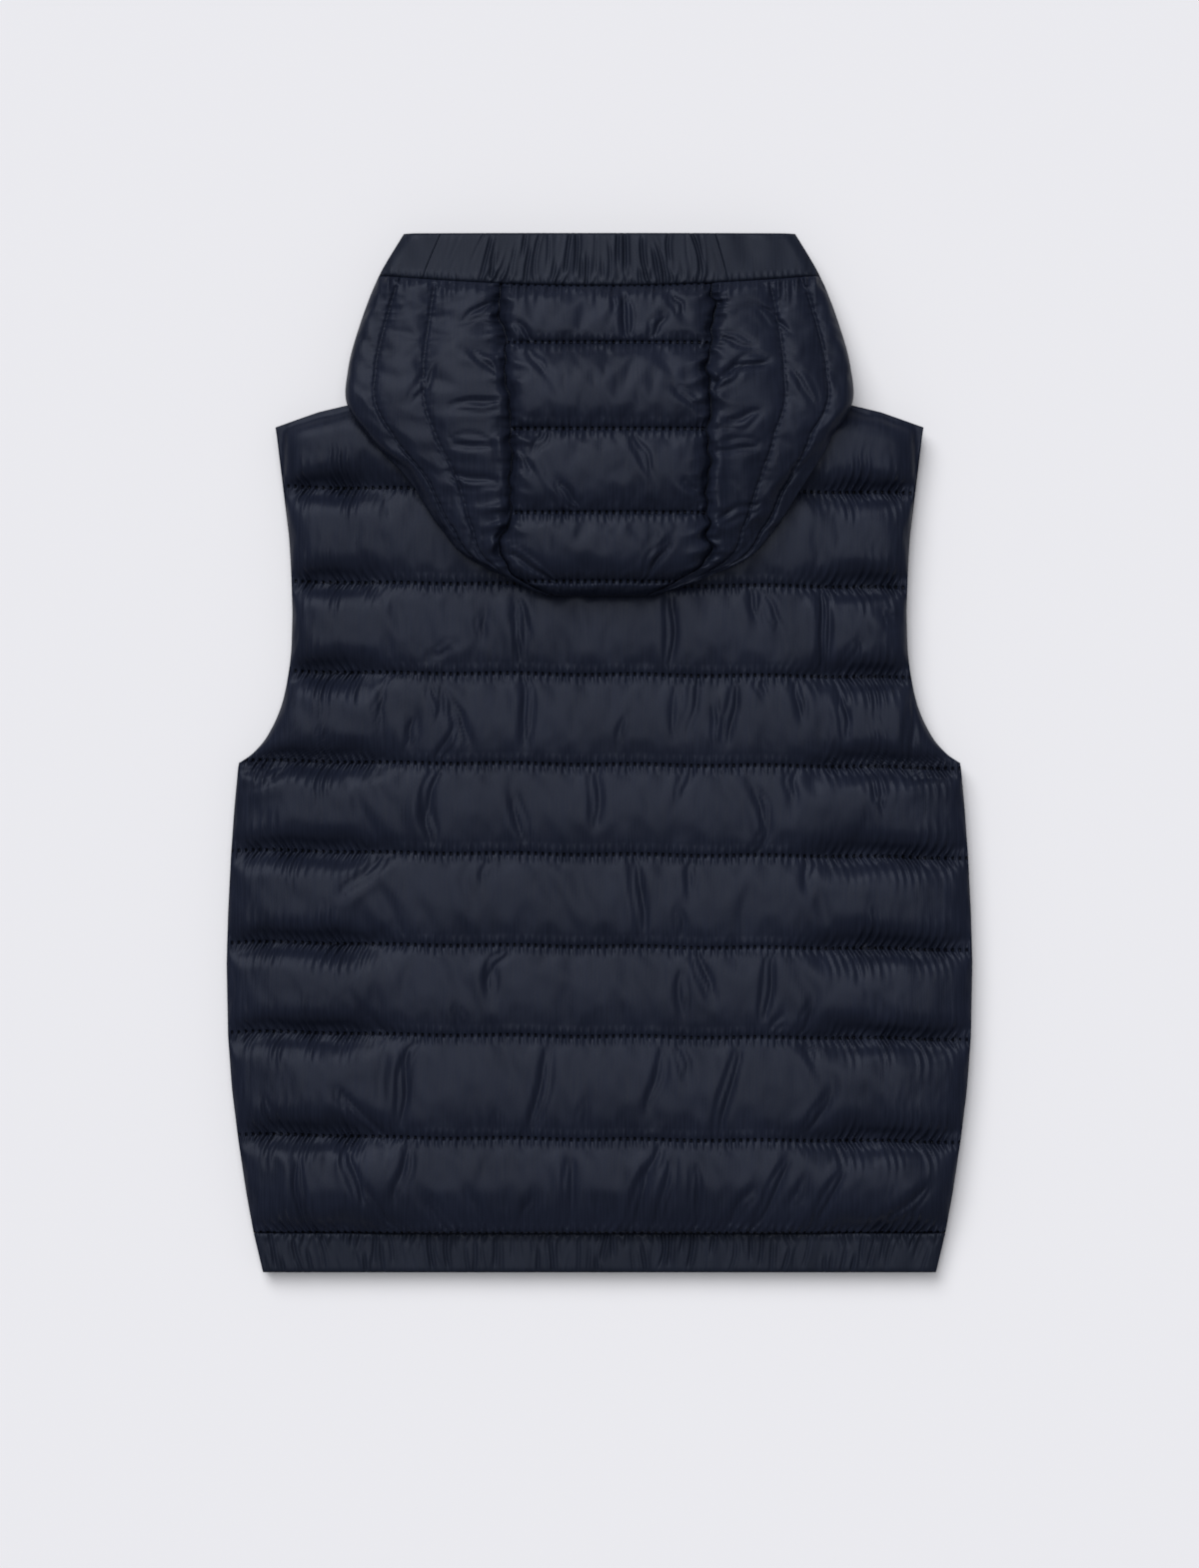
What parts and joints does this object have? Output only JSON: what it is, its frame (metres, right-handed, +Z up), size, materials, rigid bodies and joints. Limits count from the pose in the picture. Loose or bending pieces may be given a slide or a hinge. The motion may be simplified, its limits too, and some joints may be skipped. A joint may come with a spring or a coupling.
{
  "type": "quilted vest",
  "caption": "Child's hooded quilted vest laid flat on its front, back up, with puffed rows across the body, an elastic hem band and the hood turned down over the back.",
  "frame": {"origin": "middle of the garment's outline, on the surface that it lies on", "axes": "+X to the right as seen from above, +Y from the hem to the hood, +Z up off the surface"},
  "size_m": [0.4226, 0.5882, 0.0507],
  "materials": {
    "taffeta": "satin",
    "band_taffeta": "satin",
    "zip_tape": "matte",
    "slider_metal": "satin"
  },
  "bodies": {
    "root": {"back": "taffeta", "front_left": "taffeta", "front_right": "taffeta", "hem_band_back": "band_taffeta", "hem_band_front_left": "band_taffeta", "hem_band_front_right": "band_taffeta", "hood_chin": "taffeta", "hood_under": "taffeta", "hood_crown": "taffeta", "hood_side_left": "taffeta", "hood_side_right": "taffeta", "hood_band": "band_taffeta", "hood_band_end_left": "band_taffeta", "hood_band_end_right": "band_taffeta", "front_zip": "zip_tape", "zip_slider": "slider_metal"}
  },
  "joints": []
}
